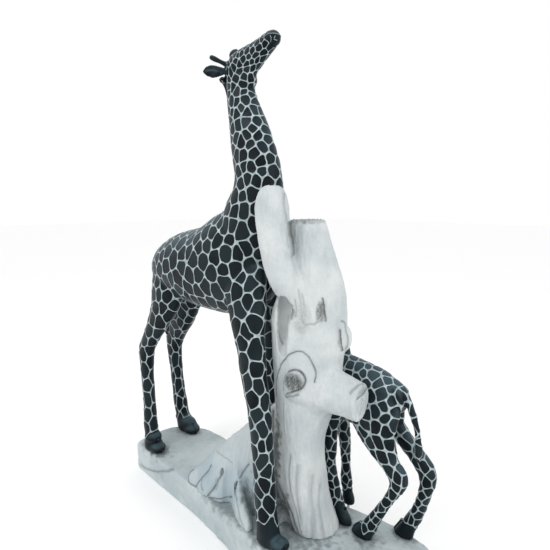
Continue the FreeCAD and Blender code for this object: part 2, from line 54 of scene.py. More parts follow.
# ------------------------------------------------------------------ distance fields
class Field:
    """A block of signed distances, with the node that owns each point."""

    def __init__(self, nodes, voxel, band, margin=0.03):
        self.voxel = voxel
        self.band = band
        self.nodes = nodes
        corners = np.array([corner for node in nodes for corner in corners_of(node)])
        self.first = np.floor((corners.min(0) - margin) / voxel).astype(int)
        self.last = np.ceil((corners.max(0) + margin) / voxel).astype(int)
        self.values = np.full(self.last - self.first + 1, band * voxel, np.float32)
        self.owner = np.zeros(self.values.shape, np.uint8)
        self.nearest = np.full(self.values.shape, band * voxel, np.float32)

    def window(self, low, high, margin):
        """Slices of the block that hold a box, and the box's first index."""
        first = np.maximum(np.floor((np.array(low) - margin) / self.voxel).astype(int), self.first)
        last = np.minimum(np.ceil((np.array(high) + margin) / self.voxel).astype(int), self.last)
        here = tuple(slice(a, b + 1) for a, b in zip(first - self.first, last - self.first))
        return here, first, last - first + 1

    def add_node(self, number, join):
        """Joins one CAD node into the block; join is the width of the fillet, 0 for none."""
        points, triangles = node_mesh(self.nodes[number])
        grid = vdb.FloatGrid.createLevelSetFromPolygons(
            points, triangles=triangles, transform=vdb.createLinearTransform(voxelSize=self.voxel),
            halfWidth=float(self.band))
        here, first, shape = self.window(points.min(0), points.max(0), self.band * self.voxel)
        part = np.full(shape, self.band * self.voxel, np.float32)
        grid.copyToArray(part, ijk=tuple(int(i) for i in first))
        mine = part < self.nearest[here]
        self.owner[here][mine] = number
        self.nearest[here] = np.minimum(self.nearest[here], part)
        self.values[here] = smooth_union(self.values[here], part, join)

    def grid_points(self, first, shape):
        axes = [(np.arange(n) + f) * self.voxel for n, f in zip(shape, first)]
        return np.meshgrid(*axes, indexing="ij", sparse=True)

    def blob(self, centre, radii, join, turn=0.0, dig=False):
        """Adds an ellipsoid (millimetres, turned about Z by degrees), or digs it out."""
        centre, radii, join = np.array(centre) / 1000, np.array(radii) / 1000, join / 1000
        reach = radii.max() + join
        here, first, shape = self.window(centre - reach, centre + reach, 0)
        x, y, z = self.grid_points(first, shape)
        c, s = math.cos(math.radians(turn)), math.sin(math.radians(turn))
        u = (c * (x - centre[0]) + s * (y - centre[1])) / radii[0]
        v = (c * (y - centre[1]) - s * (x - centre[0])) / radii[1]
        w = (z - centre[2]) / radii[2]
        length = np.sqrt(u * u + v * v + w * w)
        part = ((length - 1) * radii.min()).astype(np.float32)
        if dig:
            self.values[here] = -smooth_union(-self.values[here], part, join)
        else:
            self.values[here] = smooth_union(self.values[here], part, join)

    def fill(self, node):
        """Fills the holes drilled for a node of dowels, as the epoxy round them does."""
        points, triangles = node_mesh(node)
        grid = vdb.FloatGrid.createLevelSetFromPolygons(
            points, triangles=triangles, transform=vdb.createLinearTransform(voxelSize=self.voxel),
            halfWidth=4.0)
        here, first, shape = self.window(points.min(0), points.max(0), 4 * self.voxel)
        if min(shape) <= 0:
            return
        part = np.full(shape, 4 * self.voxel, np.float32)
        grid.copyToArray(part, ijk=tuple(int(i) for i in first))
        filled = np.where(part < self.voxel * 1.5, part - self.voxel * 1.5, self.band * self.voxel)
        inside = self.values[here] < 4 * self.voxel
        self.values[here] = np.where(inside, np.minimum(self.values[here], filled), self.values[here])

    def soften(self, sigma):
        """A Gaussian blur by slices, one axis at a time."""
        reach = int(math.ceil(2.5 * sigma / self.voxel))
        weights = np.exp(-0.5 * (np.arange(-reach, reach + 1) * self.voxel / sigma) ** 2)
        weights = (weights / weights.sum()).astype(np.float32)
        for axis in range(3):
            source = np.moveaxis(self.values, axis, 0)
            total = source * weights[reach]
            for step in range(1, reach + 1):
                total[step:] += source[:-step] * weights[reach + step]
                total[:step] += source[:1] * weights[reach + step]
                total[:-step] += source[step:] * weights[reach - step]
                total[-step:] += source[-1:] * weights[reach - step]
            self.values = np.ascontiguousarray(np.moveaxis(total, 0, axis))

    def stand_on(self, height):
        """Nothing goes below this height."""
        z = (np.arange(self.values.shape[2]) + self.first[2]) * self.voxel
        self.values = np.maximum(self.values, (height - z)[None, None, :].astype(np.float32))

    def surface(self, least):
        """The zero surface as points and quads, without shells of fewer quads than least."""
        grid = vdb.FloatGrid(self.band * self.voxel)
        grid.transform = vdb.createLinearTransform(voxelSize=self.voxel)
        grid.copyFromArray(self.values, ijk=tuple(int(i) for i in self.first))
        points, quads = grid.convertToQuads()
        return big_shells(points.astype(np.float64), quads[:, ::-1].copy(), least)

    def owner_at(self, points):
        index = np.rint(points / self.voxel).astype(int) - self.first
        index = np.clip(index, 0, np.array(self.values.shape) - 1)
        return self.owner[index[:, 0], index[:, 1], index[:, 2]]


def smooth_union(a, b, width):
    if width <= 0:
        return np.minimum(a, b)
    near = np.maximum(width - np.abs(a - b), 0) / width
    return np.minimum(a, b) - near * near * (width / 4)


def node_mesh(node):
    """A CAD node's points and triangles."""
    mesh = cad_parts[node].data
    mesh.calc_loop_triangles()
    points = np.empty(len(mesh.vertices) * 3, np.float32)
    mesh.vertices.foreach_get("co", points)
    triangles = np.empty(len(mesh.loop_triangles) * 3, np.int32)
    mesh.loop_triangles.foreach_get("vertices", triangles)
    return points.reshape(-1, 3), triangles.reshape(-1, 3)


def corners_of(node):
    points, _ = node_mesh(node)
    return points.min(0), points.max(0)


def big_shells(points, quads, least):
    label = np.arange(len(points))
    while True:
        low = label[quads].min(1)
        fresh = label.copy()
        for corner in range(4):
            np.minimum.at(fresh, quads[:, corner], low)
        fresh = fresh[fresh]
        if np.array_equal(fresh, label):
            break
        label = fresh
    count = np.bincount(label[quads[:, 0]], minlength=len(points))
    used, faces = np.unique(quads[count[label[quads[:, 0]]] >= least], return_inverse=True)
    return points[used], faces.reshape(-1, 4)


# ------------------------------------------------------------------ mesh helpers
def mesh_of(name, points, faces):
    mesh = bpy.data.meshes.new(name)
    count, sides = faces.shape
    mesh.vertices.add(len(points))
    mesh.vertices.foreach_set("co", np.ascontiguousarray(points, np.float32).ravel())
    mesh.loops.add(count * sides)
    mesh.loops.foreach_set("vertex_index", np.ascontiguousarray(faces, np.int32).ravel())
    mesh.polygons.add(count)
    mesh.polygons.foreach_set("loop_start", np.arange(0, count * sides, sides, dtype=np.int32))
    mesh.update(calc_edges=True)
    return mesh


def sides_of(quads):
    return np.concatenate([quads[:, [k, (k + 1) % 4]] for k in range(4)])


def subdivide(points, quads):
    """Splits every quad into four."""
    ends = np.sort(sides_of(quads).astype(np.int64), axis=1)
    key, place = np.unique(ends[:, 0] * len(points) + ends[:, 1], return_inverse=True)
    middle = (points[key // len(points)] + points[key % len(points)]) / 2
    side = len(points) + place.reshape(4, -1)
    centre = len(points) + len(middle) + np.arange(len(quads))
    small = [np.stack([quads[:, k], side[k], centre, side[k - 1]], 1) for k in range(4)]
    return np.concatenate([points, middle, points[quads].mean(1)]), np.concatenate(small)


def normals_of(points, quads):
    """Area-weighted vertex normals of a quad surface."""
    a = points[quads[:, 2]] - points[quads[:, 0]]
    b = points[quads[:, 3]] - points[quads[:, 1]]
    face = np.cross(a, b)
    normals = np.zeros_like(points)
    for corner in range(4):
        for axis in range(3):
            normals[:, axis] += np.bincount(quads[:, corner], face[:, axis], len(points))
    return normals / np.maximum(np.linalg.norm(normals, axis=1, keepdims=True), 1e-12)


def relax(points, quads, rounds, strength=0.5):
    """Evens out the surface: every point moves toward its neighbours' mean."""
    ends = sides_of(quads)
    count = np.bincount(ends[:, 0], minlength=len(points)) + np.bincount(ends[:, 1], minlength=len(points))
    for _ in range(rounds):
        mean = np.empty_like(points)
        for axis in range(3):
            total = np.bincount(ends[:, 0], points[ends[:, 1], axis], len(points))
            total += np.bincount(ends[:, 1], points[ends[:, 0], axis], len(points))
            mean[:, axis] = total / count
        points = points + strength * (mean - points)
    return points


def smoothstep(low, high, x):
    t = np.clip((x - low) / (high - low), 0, 1)
    return t * t * (3 - 2 * t)


def waves(points, size, seed, octaves=3):
    """Soft noise from -1 to 1: sums of sine sheets at random angles."""
    rng = np.random.default_rng(seed)
    total = np.zeros(len(points))
    weight = 1.0
    used = 0.0
    for _ in range(octaves):
        for _ in range(6):
            way = rng.normal(size=3)
            way *= 2 * math.pi / (size * np.linalg.norm(way) * rng.uniform(0.8, 1.3))
            bend = rng.normal(size=3) * 3 / size
            total += weight * np.sin(points @ way + rng.uniform(0, 6.28) + 1.5 * np.sin(points @ bend))
        used += weight * weight * 3
        size *= 0.5
        weight *= 0.55
    return total / math.sqrt(used) / 1.6


# ------------------------------------------------------------------ carved lines
def laid_line(points, path, step=0.008):
    """A smooth line through the path's points (millimetres), laid on the surface."""
    path = np.array(path, float) / 1000
    ends = np.concatenate([[2 * path[0] - path[1]], path, [2 * path[-1] - path[-2]]])
    spans = []
    for a, b, c, d in zip(ends, ends[1:], ends[2:], ends[3:]):
        count = max(int(np.linalg.norm(c - b) / step), 2)
        t = np.linspace(0, 1, count, endpoint=False)[:, None]
        spans.append(b + 0.5 * t * (c - a + t * (2 * a - 5 * b + 4 * c - d + t * (3 * (b - c) + d - a))))
    line = np.concatenate(spans + [path[-1:]])
    near = points[((points > line.min(0) - 0.05) & (points < line.max(0) + 0.05)).all(1)]
    return np.array([near[((near - spot) ** 2).sum(1).argmin()] for spot in line])


def line_distance(points, path, reach=0.06):
    """Every point's distance to a line on the surface, at most reach."""
    line = laid_line(points, path)
    near = np.flatnonzero(((points > line.min(0) - reach) & (points < line.max(0) + reach)).all(1))
    spots = points[near]
    best = np.full(len(near), reach)
    for a, b in zip(line, line[1:]):
        way = b - a
        t = np.clip((spots - a) @ way / max(way @ way, 1e-12), 0, 1)
        best = np.minimum(best, np.linalg.norm(spots - a - t[:, None] * way, axis=1))
    distance = np.full(len(points), reach)
    distance[near] = best
    return distance


class Carving:
    """What is carved into a surface: how far each point moves out, and how dark it gets."""

    def __init__(self, points):
        self.points = points
        self.lift = np.zeros(len(points))
        self.dark = np.zeros(len(points))

    def line(self, width, depth, dark, path, lip=0.25):
        """A groove of this width and depth in millimetres, with a slight raised lip on both sides."""
        across = line_distance(self.points, path) / (width / 1000)
        cut = np.exp(-across ** 2)
        self.lift += depth / 1000 * (lip * np.exp(-(across - 2.0) ** 2) - cut)
        # the darkness along a groove is partly the stone's own dark marks and partly painted shade in the cut
        self.dark = np.maximum(self.dark, dark * np.exp(-(across / 1.15) ** 2))

    def patch(self, centre, size, depth, dark, grain, seed):
        """A rough hacked patch: an ellipsoid of noise, centre and sizes in millimetres."""
        away = np.linalg.norm((self.points - np.array(centre) / 1000) / (np.array(size) / 1000), axis=1)
        near = np.flatnonzero(away < 1)
        if not len(near):
            return
        weight = 1 - smoothstep(0.55, 1.0, away[near])
        rough = waves(self.points[near], grain / 1000, seed)
        self.lift[near] += weight * depth / 1000 * (rough - 0.6)
        self.dark[near] = np.maximum(self.dark[near], weight * dark * smoothstep(-0.9, 0.5, -rough))


# ------------------------------------------------------------------ the giraffe net
def scatter(points, normals, spacing, axis, stretch, seed, tries):
    """Cell centres: points picked so that no two are closer than the local spacing."""
    rng = np.random.default_rng(seed)
    kept = []
    places = np.empty((4000, 3))
    facing = np.empty((4000, 3))
    for index in rng.permutation(len(points))[:tries]:
        count = len(kept)
        if count:
            gap = places[:count] - points[index]
            along = gap @ axis[index]
            squared = (gap * gap).sum(1) - (1 - stretch[index] ** -2) * along * along
            apart = squared + (1 - facing[:count] @ normals[index]) * (0.4 * spacing[index]) ** 2
            if apart.min() < (spacing[index] * rng.uniform(0.72, 1.0)) ** 2:
                continue
        places[count] = points[index]
        facing[count] = normals[index]
        kept.append(index)
    return np.array(kept)


class Net:
    """A net of rounded cells over a surface.  layout gives each point its spacing, axis and stretch."""

    def __init__(self, points, normals, layout, seed, tries=30000):
        spacing, axis, stretch = layout(points, normals)
        kept = scatter(points, normals, spacing, axis, stretch, seed, tries)
        rng = np.random.default_rng(seed + 1)
        self.layout = layout
        self.place = points[kept].copy()
        self.facing = normals[kept]
        self.spacing = spacing[kept]
        self.weight = rng.uniform(-0.09, 0.09, len(kept)) * self.spacing ** 2
        self.tone = rng.uniform(-1, 1, len(kept))
        shrink = 1 - stretch ** -2
        for _ in range(2):
            cell = self.cells(points, normals, axis, shrink)
            size = np.maximum(np.bincount(cell, minlength=len(kept)), 1)
            centre = np.stack([np.bincount(cell, points[:, k], len(kept)) / size for k in range(3)], 1)
            self.place += 0.5 * (centre - self.place)

    def cost(self, number, points, normals, axis, shrink):
        gap = points - self.place[number]
        along = (gap * axis).sum(1)
        turned = (1 - normals @ self.facing[number]) * (0.35 * self.spacing[number]) ** 2
        return (gap * gap).sum(1) - shrink * along * along + turned + self.weight[number]

    def cells(self, points, normals, axis, shrink):
        """For every point the cell it belongs to."""
        order = np.argsort(points[:, 2], kind="stable")
        height = points[order, 2]
        best = np.full(len(points), 1e9)
        cell = np.zeros(len(points), np.int32)
        for number, place in enumerate(self.place):
            reach = 2.2 * self.spacing[number]
            low, high = np.searchsorted(height, [place[2] - reach, place[2] + reach])
            rows = order[low:high]
            rows = rows[np.abs(points[rows, 0] - place[0]) < reach]
            rows = rows[np.abs(points[rows, 1] - place[1]) < reach]
            cost = self.cost(number, points[rows], normals[rows], axis[rows], shrink[rows])
            better = cost < best[rows]
            best[rows[better]] = cost[better]
            cell[rows[better]] = number
        return cell

    def lines(self, points, quads, normals, plain, corner):
        """Distance to the nearest line and the cell's tone.  Two plain cells have no line between."""
        spacing, axis, stretch = self.layout(points, normals)
        shrink = 1 - stretch ** -2
        sway = np.stack([waves(points, 0.075, seed, 1) for seed in (31, 32, 33)], 1)
        moved = points + 0.055 * spacing[:, None] * sway
        cell = self.cells(moved, normals, axis, shrink)
        pairs = np.sort(cell[sides_of(quads)], axis=1)
        pairs = np.unique(pairs[pairs[:, 0] != pairs[:, 1]], axis=0)
        neighbours = [[] for _ in self.place]
        for a, b in pairs:
            if not (plain[a] and plain[b]):
                neighbours[a].append(b)
                neighbours[b].append(a)
        order = np.argsort(cell, kind="stable")
        starts = np.searchsorted(cell[order], np.arange(len(self.place) + 1))
        edge = np.full(len(points), FAR)
        for number, others in enumerate(neighbours):
            rows = order[starts[number]:starts[number + 1]]
            if not others or not len(rows):
                continue
            here = (moved[rows], normals[rows], axis[rows], shrink[rows])
            own = self.cost(number, *here)
            rounding = corner * self.spacing[number]
            total = np.zeros(len(rows))
            for other in others:
                gap = self.place[other] - self.place[number]
                along = (axis[rows] @ gap) ** 2
                length = np.sqrt(gap @ gap - (2 - shrink[rows]) * shrink[rows] * along)
                total += np.exp((own - self.cost(other, *here)) / (2 * length * rounding))
            edge[rows] = -rounding * np.log(np.maximum(total, 1e-12))
        return np.clip(edge, 0, FAR), np.where(plain, 0.0, self.tone)[cell]


# ------------------------------------------------------------------ materials
def node_tree(name):
    material = bpy.data.materials.new(name)
    material.use_nodes = True
    tree = material.node_tree
    return material, tree, tree.nodes["Principled BSDF"]


def plug(tree, node, key, value):
    if isinstance(value, bpy.types.NodeSocket):
        tree.links.new(value, node.inputs[key])
    else:
        node.inputs[key].default_value = value


def add(tree, kind, inputs, **settings):
    node = tree.nodes.new(kind)
    for key, value in settings.items():
        setattr(node, key, value)
    for key, value in inputs.items():
        plug(tree, node, key, value)
    return node


def attribute(tree, name):
    return add(tree, "ShaderNodeAttribute", {}, attribute_name=name).outputs["Fac"]


def maths(tree, operation, a, b):
    return add(tree, "ShaderNodeMath", {0: a, 1: b}, operation=operation).outputs[0]


def spread(tree, value, low, high, to_low=0.0, to_high=1.0):
    inputs = {"Value": value, "From Min": low, "From Max": high, "To Min": to_low, "To Max": to_high}
    return add(tree, "ShaderNodeMapRange", inputs, interpolation_type="SMOOTHSTEP").outputs["Result"]


def mix(tree, factor, a, b):
    return add(tree, "ShaderNodeMix", {0: factor, 6: a, 7: b}, data_type="RGBA").outputs[2]


def noise(tree, scale, detail=4.0, rough=0.55):
    place = add(tree, "ShaderNodeTexCoord", {}).outputs["Object"]
    inputs = {"Vector": place, "Scale": scale, "Detail": detail, "Roughness": rough}
    return add(tree, "ShaderNodeTexNoise", inputs).outputs["Fac"]


def giraffe_stone():
    """Dark honed cells with a pale pecked net between them."""
    material, tree, shader = node_tree("giraffe_stone")
    jitter = maths(tree, "MULTIPLY", maths(tree, "SUBTRACT", noise(tree, 190.0, 3.0), 0.5), 0.0018)
    edge = maths(tree, "ADD", attribute(tree, "net"), jitter)
    line = spread(tree, maths(tree, "DIVIDE", edge, attribute(tree, "line")), 0.60, 1.15, 1.0, 0.0)
    patch = spread(tree, noise(tree, 11.0, 5.0), 0.35, 0.70)
    dark = mix(tree, patch, (0.0024, 0.0050, 0.0066, 1), (0.0062, 0.0120, 0.0155, 1))
    tone = spread(tree, attribute(tree, "tone"), -1.0, 3.0, 0.0, 1.0)
    dark = mix(tree, tone, dark, (0.0250, 0.0400, 0.0470, 1))
    facing = add(tree, "ShaderNodeNewGeometry", {}).outputs["Normal"]
    upward = add(tree, "ShaderNodeSeparateXYZ", {"Vector": facing}).outputs["Z"]
    # painted sheen: cells facing up are mixed toward a paler blue, as if lit from above
    painted_top_sheen = spread(tree, upward, 0.15, 0.95, 0.0, 0.85)
    dark = mix(tree, painted_top_sheen, dark, (0.0500, 0.0820, 0.1000, 1))
    fleck = spread(tree, noise(tree, 330.0, 2.0), 0.60, 0.80, 0.0, 0.12)
    dark = mix(tree, fleck, dark, (0.050, 0.068, 0.075, 1))
    chalk = spread(tree, noise(tree, 70.0, 4.0), 0.3, 0.7)
    pale = mix(tree, chalk, (0.26, 0.32, 0.335, 1), (0.46, 0.535, 0.555, 1))
    plug(tree, shader, "Base Color", mix(tree, line, dark, pale))
    plug(tree, shader, "Roughness", spread(tree, line, 0.0, 1.0, 0.34, 0.85))
    plug(tree, shader, "Specular IOR Level", 0.10)
    inputs = {"Height": noise(tree, 420.0, 3.0), "Strength": 0.05, "Distance": 0.002}
    plug(tree, shader, "Normal", add(tree, "ShaderNodeBump", inputs).outputs["Normal"])
    return material


def pale_stone(name, light, mid, grime_and_shade, bloom, bloom_amount):
    """Pale stone: cloudy, grained, dark in what is carved and where shade is painted, bluer low down with
    painted shade, with patches of another tint.
    """
    material, tree, shader = node_tree(name)
    cloud = spread(tree, noise(tree, 5.0, 6.0), 0.36, 0.66)
    colour = mix(tree, cloud, mid, light)
    tint = spread(tree, noise(tree, 3.1, 5.0, 0.6), 0.50, 0.72, 0.0, bloom_amount)
    colour = mix(tree, tint, colour, bloom)
    grain = spread(tree, noise(tree, 95.0, 5.0, 0.7), 0.45, 0.80, 0.0, 0.13)
    colour = mix(tree, grain, colour, grime_and_shade)
    # painted shade: the stone is mixed toward a darker blue low down, by the roots
    painted_low_shade = maths(tree, "MULTIPLY", attribute(tree, "painted_low_shade"), spread(tree, cloud, 0.0, 1.0, 1.0, 0.75))
    colour = mix(tree, painted_low_shade, colour, (0.33, 0.42, 0.46, 1))
    broken = spread(tree, noise(tree, 40.0, 4.0), 0.2, 0.7, 0.65, 1.0)
    # darker where the dark attribute is high: the stone's own dark marks, and painted shade in grooves,
    # hollows and round the feet
    colour = mix(tree, maths(tree, "MULTIPLY", attribute(tree, "dark"), broken), colour, grime_and_shade)
    plug(tree, shader, "Base Color", colour)
    plug(tree, shader, "Roughness", 0.6)
    plug(tree, shader, "Specular IOR Level", 0.35)
    inputs = {"Height": noise(tree, 150.0, 5.0, 0.7), "Strength": 0.12, "Distance": 0.003}
    plug(tree, shader, "Normal", add(tree, "ShaderNodeBump", inputs).outputs["Normal"])
    return material


STONE = giraffe_stone()
TREE = pale_stone("tree_stone", (0.60, 0.63, 0.63, 1), (0.47, 0.515, 0.53, 1), (0.050, 0.057, 0.056, 1),
                  (0.38, 0.43, 0.445, 1), 0.6)
SLAB = pale_stone("slab_stone", (0.50, 0.565, 0.58, 1), (0.40, 0.465, 0.485, 1), (0.060, 0.075, 0.082, 1),
                  (0.33, 0.39, 0.40, 1), 0.6)


# ------------------------------------------------------------------ pieces
def deal_out(field, points, quads, material, attributes):
    """Splits a surface into one piece per CAD node, keeping the whole surface's normals."""
    normals = normals_of(points, quads)
    owner = field.owner_at(points[quads].mean(1))
    for number, node in enumerate(field.nodes):
        mine = owner == number
        if not mine.any():
            raise RuntimeError("no surface for " + node)
        used, faces = np.unique(quads[mine], return_inverse=True)
        mesh = mesh_of(node + "_stone", points[used], faces.reshape(-1, 4))
        for key, values in attributes.items():
            layer = mesh.attributes.new(key, "FLOAT", "POINT")
            layer.data.foreach_set("value", np.ascontiguousarray(values[used], np.float32))
        mesh.polygons.foreach_set("use_smooth", np.ones(int(mine.sum()), bool))
        mesh.normals_split_custom_set_from_vertices(normals[used].tolist())
        mesh.materials.append(material)
        piece = bpy.data.objects.new(node + "_stone", mesh)
        bpy.context.collection.objects.link(piece)
        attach(piece, "root")
        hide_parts(node)


DOWELS = ["adult_leg_dowels", "calf_leg_dowels", "foot_dowels", "neck_dowels", "trunk_dowels"]
BODY = ["torso", "neck", "head", "right_hind_leg", "left_hind_leg", "right_foreleg", "left_foreleg"]
TRIM = ["tail", "right_horn", "left_horn", "right_ear", "left_ear"]
NECK = BODY.index("neck")
LEGS = [number for number, name in enumerate(BODY) if name.endswith("leg")]
TAIL = len(BODY)
UPRIGHT = np.array([0.0, 0.0, 1.0])

TRIM_FILLET = 0.008
CORNER = 0.085  # how round a cell's corners are, as a part of its spacing
CELL_HEIGHT, CELL_REACH = 0.0013, 0.010  # how proud a cell's middle stands, and how fast it rises
LINE_DEPTH = 0.0011


def figure(prefix, trim, voxel, softness, layout, seed, hoof_top, plain_beyond, widths, carve, swellings=()):
    """One giraffe: its field, its net and its carved lines.  Of the trim, only the tail has the net."""
    nodes = [prefix + name for name in BODY + trim]
    field = Field(nodes, voxel, BAND)
    for number in range(len(BODY)):
        field.add_node(number, 0.0)
    for node in DOWELS:
        field.fill(node)
    field.soften(softness)
    for number in range(len(BODY), len(nodes)):
        field.add_node(number, TRIM_FILLET)
    for centre, radii, join, turn in swellings:
        field.blob(centre, radii, join, turn)
    field.stand_on(SLAB_TOP - SUNK)
    points, quads = field.surface(SMALLEST_SHELL)
    points = relax(points, quads, 2)
    grown = Net(points, normals_of(points, quads), lambda p, n: layout(p, n, field.owner_at(p)), seed)
    points, quads = subdivide(points, quads)
    points = relax(points, quads, 2)
    normals = normals_of(points, quads)
    owner = field.owner_at(points)
    place = grown.place
    plain = (place[:, 2] < hoof_top(*place[:, :2].T)) | plain_beyond(place)
    edge, tone = grown.lines(points, quads, normals, plain, CORNER)
    line = np.interp(points[:, 2], *widths)
    carving = Carving(points)
    for number in LEGS:
        split_hoof(carving, points[owner == number], 1 if prefix == "adult_" else -1)
    edge = carve(points, carving, edge)
    edge = np.where(owner > TAIL, FAR, edge)
    cut = 1 - smoothstep(0.5, 1.7, edge / line)
    dome = 1 - np.exp(-edge / CELL_REACH)
    lift = CELL_HEIGHT * dome - LINE_DEPTH * cut + carving.lift
    deal_out(field, points + normals * lift[:, None], quads, STONE,
             {"net": edge, "tone": tone, "line": line})


def split_hoof(carving, leg, forward):
    """The cleft down the front of a hoof.  forward is 1 or -1, the way the giraffe faces along X."""
    sole = leg[leg[:, 2] < SLAB_TOP + 0.015]
    front = 1000 * (forward * sole[:, 0]).max() * forward
    middle = 1000 * sole[:, 1].mean()
    floor = 1000 * SLAB_TOP
    path = [(front - 30 * forward, middle, floor + 75), (front - 12 * forward, middle, floor + 40),
            (front, middle, floor + 2)]
    carving.line(5, 6, 0, path)


# ------------------------------------------------------------------ adult giraffe
def adult_layout(points, normals, owner):
    x, y, z = points.T
    leg = np.isin(owner, LEGS)
    spacing = np.interp(z, [0.20, 0.85, 1.10, 1.60, 1.75, 1.95, 2.10, 2.17, 2.30],
                        [0.047, 0.053, 0.064, 0.060, 0.047, 0.041, 0.034, 0.025, 0.022])
    nape = np.interp(z, [1.75, 1.95, 2.13], [-0.086, -0.117, -0.141])
    strip = (1 - smoothstep(0.01, 0.06, x - nape)) * (owner == NECK)
    shank = leg & (x < -0.4) & (z < 0.78)
    stretch = np.where(leg, np.where(shank, 1.75, 1.42), 1.10) + 0.8 * strip
    spacing = spacing * (1 - 0.35 * strip)
    axis = np.tile(UPRIGHT, (len(points), 1))
    axis[owner == NECK] = (-0.27, 0, 0.96)
    axis[leg & (x < -0.4) & (z > 0.8)] = (0.45, 0, 0.89)
    brow = (z > 2.165) & (normals[:, 2] > 0.25)
    axis[brow] = (0.93, 0, 0.37)
    return np.where(brow, 0.8, 1.0) * spacing, axis, np.where(brow, 1.6, stretch)


def carve_adult(points, carving, edge):
    """Mouth and nostril strokes, pale like the net, and the hollow of the near ear."""
    carving.line(9, 5, 0, [(-138, -194, 2188), (-129, -178, 2193), (-120, -160, 2191)])
    for path in (
        [(108, -104, 2290), (136, -101, 2299), (160, -92, 2297), (168, -70, 2298), (168, -48, 2297)],
        [(150, -100, 2291), (152, -97, 2281), (146, -94, 2267)],
        [(166, -87, 2288), (161, -88, 2275), (168, -76, 2272)],
        [(108, -36, 2290), (136, -39, 2299), (160, -48, 2297)],
        [(150, -40, 2291), (152, -43, 2281), (146, -46, 2267)],
    ):
        edge = np.minimum(edge, line_distance(points, path))
    return edge


# Swellings: centre and half sizes in millimetres, the fillet and the turn about Z.
ADULT_SWELLINGS = [
    # toes of the two hind hooves and the near fore hoof, then their collars and heels
    ((-722, -200, 190), (44, 46, 30), 14, 0), ((-762, 68, 190), (52, 50, 32), 14, 0),
    ((316, -207, 190), (42, 44, 30), 12, 0), ((-768, -203, 244), (56, 48, 40), 8, 0),
    ((-806, 70, 214), (62, 48, 42), 12, 0), ((-884, 68, 236), (34, 40, 26), 10, 0),
    # the far ear stands up behind the brow; the mane ends in a round nub
    ((-148, -34, 2296), (34, 14, 27), 8, 0), ((-140, -112, 2176), (16, 15, 15), 6, 0),
]


# Heights, then the width of the net's lines at each, in metres.
ADULT_WIDTHS = ([0.2, 1.0, 1.7, 2.0, 2.15, 2.2, 2.3],
                [0.0021, 0.0022, 0.0023, 0.0023, 0.0019, 0.0014, 0.0012])
CALF_WIDTHS = ([0.2, 0.8, 1.0, 1.3], [0.0020, 0.0024, 0.0020, 0.0014])


def adult_hoof_top(x, y):
    """Cells centred below this height are plain, without a line between two of them."""
    return np.where(x > -0.4, 0.292, np.where(y < 0, 0.300, 0.268))


def adult():
    figure("adult_", TRIM + ["mane"], voxel=0.0044, softness=0.008, layout=adult_layout, seed=11,
           hoof_top=adult_hoof_top, plain_beyond=lambda place: (place[:, 0] > 0.128) & (place[:, 2] > 2.2),
           widths=ADULT_WIDTHS, carve=carve_adult, swellings=ADULT_SWELLINGS)


# ------------------------------------------------------------------ calf
def calf_layout(points, normals, owner):
    x, y, z = points.T
    leg = np.isin(owner, LEGS)
    hind = leg & (x > 0.45)
    spacing = np.interp(z, [0.20, 0.45, 0.60, 0.75, 0.95, 1.10, 1.25, 1.35],
                        [0.034, 0.037, 0.045, 0.052, 0.046, 0.034, 0.024, 0.019])
    stretch = np.where(leg, 1.28, 1.10)
    axis = np.tile(UPRIGHT, (len(points), 1))
    axis[hind & (z > 0.52)] = (-0.6, 0, 0.8)
    axis[hind & (z < 0.47)] = (0.45, 0, 0.89)
    return spacing, axis, stretch


def carve_calf(points, carving, edge):
    """The fold between the rump and the tail, and down the back of the thigh."""
    fold = [(626, 150, 896), (646, 150, 862), (650, 156, 816), (650, 128, 777), (641, 108, 727)]
    carving.line(14, 8, 0, fold)
    return edge


def calf_hoof_top(x, y):
    return np.where(x > 0.5, 0.232, 0.262)


def calf():
    figure("calf_", TRIM, voxel=0.0040, softness=0.0055, layout=calf_layout, seed=5,
           hoof_top=calf_hoof_top, plain_beyond=lambda place: place[:, 0] < 0.0,
           widths=CALF_WIDTHS, carve=carve_calf)


# ------------------------------------------------------------------ tree
def add_painted_shade(points, dark, shade_spots):
    """Adds blotches of painted shade with ragged edges to how dark each point is."""
    ragged = 0.3 * waves(points, 0.05, 23, 2)
    for centre, size, strength in shade_spots:
        away = np.linalg.norm((points - np.array(centre) / 1000) / (np.array(size) / 1000), axis=1)
        dark = np.maximum(dark, strength * smoothstep(0.15, 1.0, 1.2 - away + ragged) * (away < 1.6))
    return dark


TREE_NODES = ["tree_trunk", "tree_limb", "tree_stump", "root_spur", "root_outer_toe",
              "root_inner_toe", "root_rib"]
# The fillet where each of these joins the ones before it, in metres.
TREE_FILLETS = [0, 0.014, 0.026, 0.045, 0.030, 0.026, 0.022]
